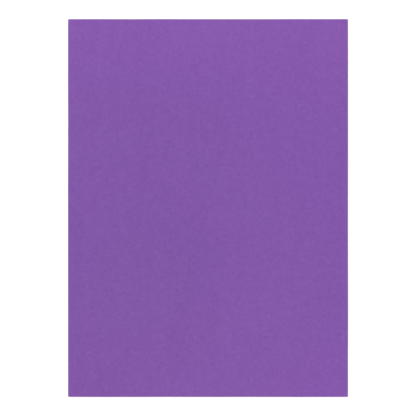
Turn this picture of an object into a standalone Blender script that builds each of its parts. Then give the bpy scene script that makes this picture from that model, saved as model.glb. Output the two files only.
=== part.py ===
"""A sheet of craft foam, lying flat: one thin soft rectangle with knife-cut edges.

Lengths are in metres and +Z is up. The origin is the middle of the underside, +Y
runs along the sheet's length and +X across its width.
"""

from math import cos, pi, sin

import bmesh
import bpy

# The sheet
LENGTH = 0.305
WIDTH = 0.226
THICKNESS = 0.002
CORNER_RADIUS = 0.0006

# The cut edge. The knife goes in at the top face and draws its skin down before it cuts,
# so the top face has the wide round and the underside stays crisp.
TOP_ROUND_WIDTH = 0.00045
TOP_ROUND_DROP = 0.00028
UNDER_ROUND = 0.00012

# The foam is squeezed while it is cut, so the cut wall springs back slightly hollow.
WALL_HOLLOW = 0.00006

# Steps round each curve
CORNER_STEPS = 5
ROUND_STEPS = 5
WALL_STEPS = 6

# The foam's finish. Faces that meet at more than the sharp angle show an edge between them.
FOAM_COLOUR = (0.230, 0.100, 0.398, 1.0)
FOAM_ROUGHNESS = 0.9
FOAM_METALLIC = 0.0
SHARP_ANGLE = pi / 6

QUARTER_TURN = pi / 2


def clear_scene():
    """Removes whatever the scene starts with."""
    for obj in list(bpy.data.objects):
        bpy.data.objects.remove(obj, do_unlink=True)


def quarter_angles(steps):
    """The angles of a quarter turn, both ends included."""
    return [QUARTER_TURN * step / steps for step in range(steps + 1)]


def edge_section():
    """The cut edge's section from the underside up to the top face.

    Each point is (inset, height): how far inside the sheet's outline it lies, and
    how far above the underside.
    """
    wall_foot = UNDER_ROUND
    wall_head = THICKNESS - TOP_ROUND_DROP
    under_round = [
        (UNDER_ROUND * (1 - sin(turn)), UNDER_ROUND * (1 - cos(turn)))
        for turn in quarter_angles(ROUND_STEPS)
    ]
    wall = [
        (
            WALL_HOLLOW * sin(pi * step / WALL_STEPS),
            wall_foot + (wall_head - wall_foot) * step / WALL_STEPS,
        )
        for step in range(1, WALL_STEPS)
    ]
    top_round = [
        (TOP_ROUND_WIDTH * (1 - cos(turn)), wall_head + TOP_ROUND_DROP * sin(turn))
        for turn in quarter_angles(ROUND_STEPS)
    ]
    return under_round + wall + top_round


def add_ring(bm, inset, height):
    """Adds one closed ring: the sheet's outline with round corners, moved in by inset."""
    half_width = WIDTH / 2 - inset - CORNER_RADIUS
    half_length = LENGTH / 2 - inset - CORNER_RADIUS
    verts = []
    for quarter, (side_x, side_y) in enumerate(((1, 1), (-1, 1), (-1, -1), (1, -1))):
        for turn in quarter_angles(CORNER_STEPS):
            angle = QUARTER_TURN * quarter + turn
            x = side_x * half_width + CORNER_RADIUS * cos(angle)
            y = side_y * half_length + CORNER_RADIUS * sin(angle)
            verts.append(bm.verts.new((x, y, height)))
    return [
        bm.edges.new((vert, verts[(index + 1) % len(verts)]))
        for index, vert in enumerate(verts)
    ]


def sheet_mesh():
    """The whole sheet: rings up the cut edge, bridged, and closed by two flat faces."""
    bm = bmesh.new()
    rings = [add_ring(bm, inset, height) for inset, height in edge_section()]
    for lower, upper in zip(rings, rings[1:]):
        bmesh.ops.bridge_loops(bm, edges=lower + upper)
    for rim in (rings[0], rings[-1]):
        bmesh.ops.contextual_create(bm, geom=rim)
    bmesh.ops.recalc_face_normals(bm, faces=bm.faces[:])
    mesh = bpy.data.meshes.new("foam_sheet")
    bm.to_mesh(mesh)
    bm.free()
    mesh.shade_smooth()
    mesh.set_sharp_from_angle(angle=SHARP_ANGLE)
    return mesh


def foam_material():
    """Plain purple foam, quite matt."""
    material = bpy.data.materials.new("purple_foam")
    material.use_nodes = True
    shader = material.node_tree.nodes["Principled BSDF"]
    shader.inputs["Base Color"].default_value = FOAM_COLOUR
    shader.inputs["Roughness"].default_value = FOAM_ROUGHNESS
    shader.inputs["Metallic"].default_value = FOAM_METALLIC
    return material


def add_foam_sheet():
    """Puts the sheet into the scene, flat on the ground plane."""
    mesh = sheet_mesh()
    mesh.materials.append(foam_material())
    sheet = bpy.data.objects.new("foam_sheet", mesh)
    bpy.context.collection.objects.link(sheet)
    return sheet


clear_scene()
add_foam_sheet()
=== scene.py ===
"""The looks of a sheet of craft foam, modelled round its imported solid.

Lengths are in metres. The sheet lies on the floor with +Z up and +Y along its length,
and the camera looks straight down on it.
"""

import logging
from collections.abc import Callable
from dataclasses import dataclass, field
from enum import Enum
from functools import cached_property
from math import cos, pi, radians, sin

import bmesh
import bpy
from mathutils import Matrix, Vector


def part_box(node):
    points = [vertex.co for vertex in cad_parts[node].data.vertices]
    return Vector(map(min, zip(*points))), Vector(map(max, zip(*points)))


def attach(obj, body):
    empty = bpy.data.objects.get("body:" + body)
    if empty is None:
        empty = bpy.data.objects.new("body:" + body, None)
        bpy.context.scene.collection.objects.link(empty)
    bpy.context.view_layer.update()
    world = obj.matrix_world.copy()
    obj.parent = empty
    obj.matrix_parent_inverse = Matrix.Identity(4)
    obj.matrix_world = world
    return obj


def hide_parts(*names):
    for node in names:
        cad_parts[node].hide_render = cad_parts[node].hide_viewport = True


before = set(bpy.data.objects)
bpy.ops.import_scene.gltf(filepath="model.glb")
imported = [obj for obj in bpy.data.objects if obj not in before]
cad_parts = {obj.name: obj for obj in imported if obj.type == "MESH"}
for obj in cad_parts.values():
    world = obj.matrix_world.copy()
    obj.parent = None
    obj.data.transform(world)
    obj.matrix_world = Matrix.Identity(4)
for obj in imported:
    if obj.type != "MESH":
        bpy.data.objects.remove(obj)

log = logging.getLogger("craft_foam")

# The piece, and the node and body of the imported model that it stands for
PIECE = "craft_foam_sheet"
NODE = "foam_sheet"
BODY = "root"

ORIGIN = (0.0, 0.0, 0.0)
WHITE = (1.0, 1.0, 1.0, 1.0)

# A noise runs from 0 to 1, round this middle
NOISE_MIDDLE = 0.5

Socket = bpy.types.NodeSocket
Point = tuple[float, float, float]

# What a node is fed: links and plain values, by the name or number of the input
Source = Socket | tuple[float, ...] | float
Inputs = dict[str | int, Source]


class Surface(Enum):
    """The two kinds of surface on the sheet, by material slot."""

    SPLIT_FACE = 0
    CUT_WALL = 1


class Zone(Enum):
    """The parts of the mesh that reliefs move, by vertex group."""

    TOP_FACE = "top_face"
    OUTLINE = "outline"
    WALL = "wall"


class Move(Enum):
    """The direction in which a relief moves the mesh."""

    UP = "Z"
    ACROSS = "X"
    ALONG = "Y"
    OUTWARD = "NORMAL"


class Sum(Enum):
    """What a node works out from its numbers."""

    MINUS = "SUBTRACT"
    TIMES = "MULTIPLY"
    TIMES_PLUS = "MULTIPLY_ADD"
    WITHOUT_SIGN = "ABSOLUTE"


class NodeBench:
    """Adds and joins the nodes of one material, or of the world."""

    def __init__(
        self, owner: bpy.types.Material | bpy.types.World, shader: str = "Principled BSDF"
    ) -> None:
        """Starts with the one shader that comes with a new material or world.

        Args:
            owner: the material or the world.
            shader: the name of its shader node.
        """
        owner.use_nodes = True
        self.owner = owner
        self.tree = owner.node_tree
        self.shader = self.tree.nodes[shader]

    @cached_property
    def place(self) -> Socket:
        """The surface's place, in the piece's own coordinates."""
        return self.add("ShaderNodeTexCoord", "Object")

    def feed(self, node: bpy.types.Node, inputs: Inputs) -> None:
        """Feeds a node with links and plain values.

        Args:
            node: the node.
            inputs: what it is fed.
        """
        for name, source in inputs.items():
            if isinstance(source, Socket):
                self.tree.links.new(source, node.inputs[name])
            else:
                node.inputs[name].default_value = source

    def add(
        self, kind: str, output: str, inputs: Inputs | None = None, **settings: object
    ) -> Socket:
        """Adds one node.

        Args:
            kind: the node's Blender type.
            output: the output that is wanted of it.
            inputs: what it is fed.
            settings: its properties and their values.

        Returns:
            The output's socket.
        """
        node = self.tree.nodes.new(kind)
        for name, value in settings.items():
            setattr(node, name, value)
        self.feed(node, inputs or {})
        return node.outputs[output]

    def work_out(self, task: Sum, *numbers: Socket | float) -> Socket:
        """Works out one number all over the surface.

        Args:
            task: what is worked out.
            numbers: what it is worked out from, in order.

        Returns:
            The result's socket.
        """
        return self.add("ShaderNodeMath", "Value", dict(enumerate(numbers)), operation=task.value)

    def squeezed(self, scale: Point, layer: float = 0.0) -> Socket:
        """Squeezes the surface's place.

        Args:
            scale: the squeeze along each axis.
            layer: how far the place is then moved up.

        Returns:
            The new place's socket.
        """
        inputs = {"Vector": self.place, "Scale": scale, "Location": (0.0, 0.0, layer)}
        return self.add("ShaderNodeMapping", "Vector", inputs)

    def shift(self, base: Socket | Point, change: Point, amount: Socket) -> Socket:
        """Shifts a colour from place to place.

        Args:
            base: the colour as linear red, green and blue.
            change: what a whole step adds to it.
            amount: how many steps each place takes.

        Returns:
            The shifted colour's socket.
        """
        inputs = {0: change, 1: amount, 2: base}
        return self.add("ShaderNodeVectorMath", "Vector", inputs, operation=Sum.TIMES_PLUS.value)

    def bump(self, height: Socket) -> Socket:
        """Turns a height in metres into the way that the surface faces."""
        return self.add("ShaderNodeBump", "Normal", {"Height": height, "Distance": 1.0})


@dataclass(frozen=True)
class Mottle:
    """Unevenness of one size, in soft patches.

    Attributes:
        size: the rough size of a patch.
        shade: how much its patches lighten and darken the colour, in steps of the dye.
        relief: how far its patches stand above their hollows; where it is set, the same patches are
            painted paler where they stand high and darker in their hollows, as painted light and shade.
        stretch: how many times longer the patches are along the sheet.
        layer: the height at which the pattern is cut, so that like patterns differ.
        spotty: whether a few of its patches stand out and the rest is nearly plain.
    """

    size: float
    shade: float
    relief: float = 0.0
    stretch: float = 1.0
    layer: float = 0.0
    spotty: bool = False

    def pattern(self, bench: NodeBench) -> Socket:
        """Lays the patches over a surface.

        Args:
            bench: the bench on which the surface's material is made.

        Returns:
            A number that wanders between about -0.5 and 0.5, or -0.25 and 0.25 for spotty
            patches, and mostly stays near 0.
        """
        inputs = {
            "Vector": bench.squeezed((1.0, 1.0 / self.stretch, 1.0), self.layer),
            "Scale": 1.0 / self.size,
            "Detail": 0.0,
        }
        noise = bench.add("ShaderNodeTexNoise", "Fac", inputs)
        wander = bench.work_out(Sum.MINUS, noise, NOISE_MIDDLE)
        if self.spotty:
            wander = bench.work_out(Sum.TIMES, wander, bench.work_out(Sum.WITHOUT_SIGN, wander))
        return wander


@dataclass(frozen=True)
class Cells:
    """The foam's cells, cut open where the foam was split or sliced.

    Attributes:
        size: the distance from one cell to the next.
        depth: how deep an open cell is.
        shade: how much darker a cell's bottom is painted than its walls, in steps of the dye, as painted
            shade in the hollow.
        flatten: how many times wider than high the cells are squeezed.
        softness: how softly one cell runs into the next.
    """

    size: float
    depth: float
    shade: float
    flatten: float = 1.0
    softness: float = 0.35

    def pattern(self, bench: NodeBench) -> Socket:
        """Covers a surface with the cells.

        Args:
            bench: the bench on which the surface's material is made.

        Returns:
            A number from 0 in the middle of a cell to about 1 on the walls between.
        """
        inputs = {
            "Vector": bench.squeezed((1.0, 1.0, self.flatten)),
            "Scale": 1.0 / self.size,
            "Smoothness": self.softness,
        }
        return bench.add("ShaderNodeTexVoronoi", "Distance", inputs, feature="SMOOTH_F1")


@dataclass(frozen=True)
class Pits:
    """Larger cells that were cut open here and there.

    Attributes:
        spacing: the distance between such cells in the foam, of which the surface cuts a few.
        radius: how wide such a cell is, from its middle.
        depth: how deep its pit is.
        shade: how much darker its pit is painted, in steps of the dye, as painted shade in the hollow.
    """

    spacing: float
    radius: float
    depth: float
    shade: float

    def pattern(self, bench: NodeBench) -> Socket:
        """Scatters the pits over a surface.

        Args:
            bench: the bench on which the surface's material is made.

        Returns:
            A number from 0 between the pits to 1 in the middle of one.
        """
        spots = {"Vector": bench.place, "Scale": 1.0 / self.spacing}
        distance = bench.add("ShaderNodeTexVoronoi", "Distance", spots, feature="F1")
        rims = {"Value": distance, "From Min": self.radius / self.spacing, "From Max": 0.0}
        return bench.add("ShaderNodeMapRange", "Result", rims, interpolation_type="SMOOTHSTEP")


@dataclass(frozen=True)
class Dye:
    """The foam's colour and the two ways in which it varies, in linear light.

    Attributes:
        colour: the colour itself.
        paler: what a whole step paler adds to it, for the grain's random tone and for the painted shade
            in the cells, pits and hollows.
        richer: what a whole step towards a richer, redder and bluer colour adds to it.
    """

    colour: Point
    paler: Point
    richer: Point


@dataclass(frozen=True)
class FoamFinish:
    """The finish of one kind of foam surface.

    Attributes:
        name: the material's name.
        dye: the foam's colour.
        drift: a slow change of colour over the sheet, as steps towards the richer colour.
        mottles: its unevenness, from the widest to the finest, as steps towards the paler colour; random
            grain tone, with painted light and shade where a mottle has relief.
        cells: its small open cells, with painted shade in their bottoms.
        pits: its few larger cells, with painted shade in their pits.
        roughness: how matt it is.
        polish: how much less matt the cells' walls are than their bottoms.
        gloss: how strongly it mirrors, where 0.5 is a plain plastic.
        sheen: how much paler it turns at a low angle.
        sheen_roughness: how widely that paler sheen spreads.
    """

    name: str
    dye: Dye
    drift: Mottle
    mottles: tuple[Mottle, ...]
    cells: Cells
    pits: tuple[Pits, ...] = ()
    roughness: float = 0.9
    polish: float = 0.1
    gloss: float = 0.25
    sheen: float = 0.06
    sheen_roughness: float = 0.6

    def material(self) -> bpy.types.Material:
        """Mixes the finish.

        Returns:
            The finished material.
        """
        bench = NodeBench(bpy.data.materials.new(self.name))
        cell = self.cells.pattern(bench)
        # Painted shade: the bottom of each cell is painted darker than its walls.
        shade = bench.work_out(Sum.TIMES_PLUS, cell, self.cells.shade, -self.cells.shade / 2)
        height = bench.work_out(Sum.TIMES, cell, self.cells.depth)
        for mottle in self.mottles:
            patch = mottle.pattern(bench)
            # The patches shift the colour at random, as grain; where a mottle has relief, its raised
            # patches come out paler and its hollows darker, as painted light and shade.
            shade = bench.work_out(Sum.TIMES_PLUS, patch, mottle.shade, shade)
            if mottle.relief:
                height = bench.work_out(Sum.TIMES_PLUS, patch, mottle.relief, height)
        for pits in self.pits:
            pit = pits.pattern(bench)
            # Painted shade: each pit is painted darker towards its deepest middle.
            shade = bench.work_out(Sum.TIMES_PLUS, pit, -pits.shade, shade)
            height = bench.work_out(Sum.TIMES_PLUS, pit, -pits.depth, height)
        drift = bench.work_out(Sum.TIMES, self.drift.pattern(bench), self.drift.shade)
        dyed = bench.shift(self.dye.colour, self.dye.richer, drift)
        matt = self.roughness + self.polish / 2
        inputs = {
            "Base Color": bench.shift(dyed, self.dye.paler, shade),
            "Normal": bench.bump(height),
            "Roughness": bench.work_out(Sum.TIMES_PLUS, cell, -self.polish, matt),
            "Specular IOR Level": self.gloss,
            "Sheen Weight": self.sheen,
            "Sheen Roughness": self.sheen_roughness,
        }
        bench.feed(bench.shader, inputs)
        return bench.owner


PURPLE = Dye(
    colour=(0.2167, 0.0888, 0.3912),
    paler=(0.182, 0.112, 0.251),
    richer=(0.218, 0.0, 0.385),
)

DRIFT = Mottle(size=0.320, shade=0.240, layer=8.085)

FINISHES = {
    Surface.SPLIT_FACE: FoamFinish(
        name="foam_split_face",
        dye=PURPLE,
        drift=DRIFT,
        mottles=(
            Mottle(size=0.100, shade=0.050, layer=4.81),
            Mottle(size=0.030, shade=0.012),
            Mottle(size=0.014, shade=0.022),
            Mottle(size=0.012, shade=0.043, stretch=24.0, layer=3.848),
            Mottle(size=0.007, shade=0.029, stretch=30.0, layer=2.205),
            Mottle(size=0.007, shade=0.040),
            Mottle(size=0.0039, shade=0.092, relief=0.00003),
            Mottle(size=0.0024, shade=0.710, relief=0.0001, spotty=True),
            Mottle(size=0.0014, shade=0.080, relief=0.00002),
        ),
        cells=Cells(size=0.00036, depth=0.00006, shade=0.30),
        pits=(
            Pits(spacing=0.011, radius=0.0014, depth=0.00011, shade=0.04),
            Pits(spacing=0.004, radius=0.0003, depth=0.00012, shade=0.30),
        ),
    ),
    Surface.CUT_WALL: FoamFinish(
        name="foam_cut_wall",
        dye=PURPLE,
        drift=DRIFT,
        mottles=(
            Mottle(size=0.020, shade=0.06),
            Mottle(size=0.0012, shade=0.10, relief=0.00003),
        ),
        cells=Cells(size=0.00030, depth=0.00008, shade=0.45, flatten=1.4),
    ),
}


@dataclass(frozen=True)
class Relief:
    """One modelled unevenness of the sheet's mesh.

    Attributes:
        name: the relief's name.
        zone: the part of the mesh that it moves.
        move: the direction of the movement.
        size: the distance from one swelling to the next.
        height: the whole range of the movement.
        depth: how many finer sizes it breaks up into.
    """

    name: str
    zone: Zone
    move: Move
    size: float
    height: float
    depth: int = 1

    def raise_on(self, piece: bpy.types.Object) -> None:
        """Moves a piece's mesh for good.

        Args:
            piece: the piece, with a vertex group of the relief's zone.
        """
        clouds = bpy.data.textures.new(self.name, "CLOUDS")
        clouds.noise_scale = self.size
        clouds.noise_depth = self.depth
        swell = piece.modifiers.new(self.name, "DISPLACE")
        swell.texture = clouds
        swell.texture_coords = "LOCAL"
        swell.direction = self.move.value
        swell.strength = self.height
        swell.vertex_group = self.zone.value
        bpy.ops.object.modifier_apply(modifier=swell.name)


@dataclass(frozen=True)
class CutEdge:
    """The section of the knife-cut edge.

    Attributes:
        top_round_width: how far in from the outline the top face starts to fall.
        top_round_drop: how far it falls before the wall starts.
        under_round: the round of the lower edge.
        wall_hollow: how hollow the squeezed wall springs back.
        round_steps: the steps round each edge.
        wall_steps: the steps up the wall.
    """

    top_round_width: float = 0.00045
    top_round_drop: float = 0.00028
    under_round: float = 0.00012
    wall_hollow: float = 0.00006
    round_steps: int = 4
    wall_steps: int = 5

    def section(self, thickness: float) -> list[tuple[float, float]]:
        """Follows the edge from the underside up to the top face.

        Args:
            thickness: the sheet's thickness.

        Returns:
            Points as (inset from the outline, height above the underside).
        """
        foot = self.under_round
        head = thickness - self.top_round_drop
        turns = [pi / 2 * step / self.round_steps for step in range(self.round_steps + 1)]
        shares = [step / self.wall_steps for step in range(1, self.wall_steps)]
        under = [(foot * (1 - sin(turn)), foot * (1 - cos(turn))) for turn in turns]
        wall = [(self.wall_hollow * sin(pi * share), foot + (head - foot) * share) for share in shares]
        top = [
            (self.top_round_width * (1 - cos(turn)), head + self.top_round_drop * sin(turn))
            for turn in turns
        ]
        return under + wall + top


@dataclass
class FoamSheet:
    """The sheet: two split faces and the knife-cut wall between them.

    Attributes:
        low: the solid's lowest corner.
        high: the solid's highest corner.
        edge: the section of its cut edge.
        corner_radius: the radius of the outline's corners.
        corner_steps: the steps round an outline corner.
        row: the spacing of the mesh on the faces.
        fade: how far in from the edge its waver dies out and the top face's swell comes in.
        grain_share: how far in the wall's grain reaches, as a share of the lower round.
        smooth_angle: the angle in degrees past which two faces show an edge between them.
        wall_steepness: the upward share of a face's normal that the wall stays under.
        reliefs: the modelled unevenness.
        thickness: the sheet's thickness.
        half: half its width and half its length.
        piece: the sheet's own mesh, once it is started.
    """

    low: Vector
    high: Vector
    edge: CutEdge = CutEdge()
    corner_radius: float = 0.0006
    corner_steps: int = 5
    row: float = 0.00135
    fade: float = 0.004
    grain_share: float = 0.9
    smooth_angle: float = 40.0
    wall_steepness: float = 0.7
    reliefs: tuple[Relief, ...] = (
        Relief("split_waver", Zone.TOP_FACE, Move.UP, size=0.055, height=0.00006),
        Relief("split_grain", Zone.TOP_FACE, Move.UP, size=0.005, height=0.000025, depth=2),
        Relief("knife_waver_across", Zone.OUTLINE, Move.ACROSS, size=0.045, height=0.0002),
        Relief("knife_waver_along", Zone.OUTLINE, Move.ALONG, size=0.050, height=0.0002),
        Relief("cut_grain", Zone.WALL, Move.OUTWARD, size=0.002, height=0.00004, depth=2),
    )
    thickness: float = field(init=False)
    half: Vector = field(init=False)
    piece: bpy.types.Object | None = field(default=None, init=False)

    def __post_init__(self) -> None:
        """Works out the sheet's thickness and half sizes from the solid's two corners."""
        size = self.high - self.low
        self.thickness = size.z
        self.half = Vector((size.x / 2, size.y / 2))

    def pick(self, chosen: Callable[[bmesh.types.BMVert], bool]) -> None:
        """Selects vertices of the piece in edit mode, and nothing else.

        Args:
            chosen: says whether a vertex is wanted.
        """
        bpy.ops.mesh.select_all(action="DESELECT")
        edit = bmesh.from_edit_mesh(self.piece.data)
        for vert in edit.verts:
            vert.select = chosen(vert)
        edit.select_flush_mode()
        bmesh.update_edit_mesh(self.piece.data)

    def move_outline(self, old_inset: float, new_inset: float) -> None:
        """Widens or narrows what is selected, so that its rim lies elsewhere.

        Args:
            old_inset: how far inside the sheet's outline the rim lies.
            new_inset: how far inside it goes.
        """
        across, along = ((half - new_inset) / (half - old_inset) for half in self.half)
        bpy.ops.transform.resize(value=(across, along, 1.0), center_override=ORIGIN)

    def lay_top_face(self) -> None:
        """Starts the sheet with its top face, a fine grid with round corners."""
        width, length = (2 * (half - self.edge.top_round_width) for half in self.half)
        bpy.ops.object.select_all(action="DESELECT")
        bpy.ops.mesh.primitive_grid_add(
            x_subdivisions=round(width / self.row),
            y_subdivisions=round(length / self.row),
            size=1.0,
            calc_uvs=False,
            location=(0.0, 0.0, self.thickness),
        )
        self.piece = bpy.context.object
        self.piece.name = PIECE
        self.piece.data.name = PIECE
        self.piece.scale = (width, length, 1.0)
        bpy.ops.object.transform_apply(location=True, rotation=False, scale=True)
        bpy.ops.object.mode_set(mode="EDIT")
        bpy.ops.mesh.select_mode(type="VERT")
        self.pick(lambda vert: len(vert.link_edges) == 2)
        bpy.ops.mesh.bevel(affect="VERTICES", offset=self.corner_radius, segments=self.corner_steps)

    def lay_underside(self) -> None:
        """Copies the top face down for the underside, a little wider and turned over."""
        bpy.ops.mesh.select_all(action="SELECT")
        bpy.ops.mesh.duplicate_move(TRANSFORM_OT_translate={"value": (0.0, 0.0, -self.thickness)})
        self.move_outline(self.edge.top_round_width, self.edge.under_round)
        bpy.ops.mesh.flip_normals()

    def bridge_wall(self) -> None:
        """Joins the two faces by a wall, and moves its rings onto the cut edge's section."""
        section = self.edge.section(self.thickness)
        gaps = len(section) - 1
        self.pick(lambda vert: vert.is_boundary)
        bpy.ops.mesh.bridge_edge_loops(number_cuts=gaps - 1, interpolation="LINEAR")
        edit = bmesh.from_edit_mesh(self.piece.data)
        rings: list[set[int]] = [set() for _ in section]
        for vert in edit.verts:
            rings[round(vert.co.z / self.thickness * gaps)].add(vert.index)
        for level in range(1, gaps):
            self.move_ring(rings[level], level / gaps, *section[level])

    def move_ring(self, ring: set[int], share: float, inset: float, height: float) -> None:
        """Moves one ring of the wall to its place in the section.

        Args:
            ring: the ring's vertex numbers.
            share: how far up the straight bridge the ring lies, from 0 to 1.
            inset: how far inside the outline it goes.
            height: how far above the underside it goes.
        """
        foot, head = self.edge.under_round, self.edge.top_round_width
        self.pick(lambda vert: vert.index in ring)
        self.move_outline(foot + (head - foot) * share, inset)
        bpy.ops.transform.translate(value=(0.0, 0.0, height - self.thickness * share))

    def weight(self, zone: Zone, place: Vector) -> float:
        """Says how much of a zone's reliefs a place takes.

        Args:
            zone: the zone.
            place: the place.

        Returns:
            The share that it takes, 0 or less for none and 1 for all.
        """
        inset = min(self.half.x - abs(place.x), self.half.y - abs(place.y))
        if zone is Zone.OUTLINE:
            return 1.0 - inset / self.fade
        if zone is Zone.WALL:
            return 1.0 if inset < self.edge.under_round * self.grain_share else 0.0
        if place.z > self.thickness / 2:
            return min(1.0, (inset - self.edge.top_round_width) / self.fade)
        return 0.0

    def mark_zones(self) -> None:
        """Makes a vertex group of each zone."""
        for zone in Zone:
            group = self.piece.vertex_groups.new(name=zone.value)
            for vert in self.piece.data.vertices:
                share = self.weight(zone, vert.co)
                if share > 0.0:
                    group.add([vert.index], share, "REPLACE")

    def build(self) -> bpy.types.Object:
        """Models the whole sheet as one closed mesh.

        Returns:
            The finished piece.
        """
        self.lay_top_face()
        self.lay_underside()
        self.bridge_wall()
        bpy.ops.object.mode_set(mode="OBJECT")
        self.mark_zones()
        for relief in self.reliefs:
            relief.raise_on(self.piece)
        self.piece.vertex_groups.clear()
        bpy.ops.object.shade_smooth_by_angle(angle=radians(self.smooth_angle))
        return self.piece

    def dress(self) -> None:
        """Gives the faces and the wall their finishes."""
        for kind in Surface:
            self.piece.data.materials.append(FINISHES[kind].material())
        for face in self.piece.data.polygons:
            steep = abs(face.normal.z) < self.wall_steepness
            kind = Surface.CUT_WALL if steep else Surface.SPLIT_FACE
            face.material_index = kind.value

    def hand_over(self) -> None:
        """Hides the imported part that the piece stands for, and hangs the piece on that part's body."""
        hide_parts(NODE)
        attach(self.piece, BODY)


def hang_light(lamp: bpy.types.Light, place: Point, target: Point) -> None:
    """Puts a light into the scene.

    Args:
        lamp: the light's own settings.
        place: where it hangs.
        target: where it points.
    """
    light = bpy.data.objects.new(lamp.name, lamp)
    light.location = place
    aim = Vector(target) - Vector(place)
    light.rotation_euler = aim.to_track_quat("-Z", "Y").to_euler()
    light.visible_camera = False
    bpy.context.scene.collection.objects.link(light)


@dataclass(frozen=True)
class StripLight:
    """A long thin light close over one end of the sheet, which shines straight down.

    Attributes:
        name: the light's name.
        height: how high above the floor it hangs.
        power: its power in watts.
        colour: the colour of its light.
        length: its length, across the sheet.
        width: its width.
    """

    name: str
    height: float
    power: float
    colour: Point
    length: float = 0.5
    width: float = 0.01

    def hang(self, along: float) -> None:
        """Puts the strip into the scene.

        Args:
            along: how far along the floor it hangs, from the middle.
        """
        lamp = bpy.data.lights.new(self.name, "AREA")
        lamp.shape = "RECTANGLE"
        lamp.size = self.length
        lamp.size_y = self.width
        lamp.energy = self.power
        lamp.color = self.colour
        hang_light(lamp, (0.0, along, self.height), (0.0, along, 0.0))


@dataclass(frozen=True)
class HighLight:
    """A wide, soft, distant light that falls evenly over the whole floor.

    Attributes:
        name: the light's name.
        place: the side from which it shines.
        strength: its strength in watts for each square metre.
        spread: how wide it looks, in degrees.
    """

    name: str
    place: Point
    strength: float
    spread: float

    def hang(self) -> None:
        """Puts the light into the scene."""
        lamp = bpy.data.lights.new(self.name, "SUN")
        lamp.energy = self.strength
        lamp.angle = radians(self.spread)
        hang_light(lamp, self.place, ORIGIN)


@dataclass
class Studio:
    """A plain white floor, soft light from all round, and the camera overhead.

    Attributes:
        floor_half: half the floor's width.
        floor_white: how white the floor is.
        floor_glow: the floor's own light, as on a light table.
        floor_roughness: how matt the floor is.
        floor_gloss: how strongly it mirrors, where 0.5 is a plain plastic.
        air_light: the strength of the light from all round.
        high_light: the light from above.
        far_strip: the light over the sheet's far end.
        near_strip: the light over its near end.
        lens: the camera's lens in millimetres.
        sensor: the camera's sensor width in millimetres.
        frame_pixels: the photograph's width in pixels.
        sheet_pixels: the sheet's length in the photograph, in pixels.
    """

    floor_half: float = 8.0
    floor_white: float = 0.65
    floor_glow: float = 0.55
    floor_roughness: float = 0.95
    floor_gloss: float = 0.1
    air_light: float = 0.66
    high_light: HighLight = HighLight(
        name="high_light", place=(-0.35, 0.75, 0.95), strength=1.38, spread=60.0
    )
    far_strip: StripLight = StripLight(
        name="far_strip", height=0.056, power=0.0215, colour=(1.0, 0.56, 0.66)
    )
    near_strip: StripLight = StripLight(
        name="near_strip", height=0.090, power=0.0170, colour=(1.0, 0.60, 0.40)
    )
    lens: float = 100.0
    sensor: float = 36.0
    frame_pixels: float = 416.0
    sheet_pixels: float = 377.8

    def lay_floor(self) -> None:
        """Lays the floor under the sheet."""
        bpy.ops.object.select_all(action="DESELECT")
        bpy.ops.mesh.primitive_plane_add(size=2 * self.floor_half, location=ORIGIN)
        floor = bpy.context.object
        floor.name = "floor"
        bench = NodeBench(bpy.data.materials.new("white_floor"))
        inputs = {
            "Base Color": (self.floor_white, self.floor_white, self.floor_white, 1.0),
            "Roughness": self.floor_roughness,
            "Specular IOR Level": self.floor_gloss,
            "Emission Color": WHITE,
            "Emission Strength": self.floor_glow,
        }
        bench.feed(bench.shader, inputs)
        floor.data.materials.append(bench.owner)

    def fill_air(self) -> None:
        """Lights the scene evenly from all round, behind a pure white view."""
        bench = NodeBench(bpy.data.worlds.new("studio_air"), "Background")
        bench.feed(bench.shader, {"Color": WHITE, "Strength": self.air_light})
        backdrop = bench.add("ShaderNodeBackground", "Background", {"Color": WHITE})
        seen = bench.add("ShaderNodeLightPath", "Is Camera Ray")
        choice = {0: seen, 1: bench.shader.outputs["Background"], 2: backdrop}
        view = bench.add("ShaderNodeMixShader", "Shader", choice)
        bench.feed(bench.tree.nodes["World Output"], {"Surface": view})
        bpy.context.scene.world = bench.owner

    def set_camera(self, length: float, top: float) -> None:
        """Hangs the camera straight over the sheet, with the sheet as large as in the photograph.

        Args:
            length: the sheet's length.
            top: the height of the sheet's widest outline above the floor.
        """
        lens = bpy.data.cameras.new("camera")
        lens.lens = self.lens
        lens.sensor_width = self.sensor
        camera = bpy.data.objects.new("camera", lens)
        view_width = length * self.frame_pixels / self.sheet_pixels
        camera.location = (0.0, 0.0, top + view_width * self.lens / self.sensor)
        bpy.context.scene.collection.objects.link(camera)
        bpy.context.scene.camera = camera
        bpy.context.scene.view_settings.view_transform = "Standard"

    def build(self, sheet: FoamSheet) -> None:
        """Sets up floor, lights and camera for a sheet.

        Args:
            sheet: the sheet that they are for.
        """
        self.lay_floor()
        self.fill_air()
        self.high_light.hang()
        self.far_strip.hang(sheet.half.y)
        self.near_strip.hang(-sheet.half.y)
        self.set_camera(2 * sheet.half.y, sheet.thickness - sheet.edge.top_round_drop)


def main() -> None:
    """Builds the sheet, dresses it and sets up the studio round it."""
    logging.basicConfig(level=logging.INFO, format="%(name)s: %(message)s")
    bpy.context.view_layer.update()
    sheet = FoamSheet(*(Vector(corner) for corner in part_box(NODE)))
    piece = sheet.build()
    sheet.dress()
    sheet.hand_over()
    log.info("%s: %d vertices, %d faces", piece.name, len(piece.data.vertices), len(piece.data.polygons))
    Studio().build(sheet)


if __name__ == "__main__":
    main()
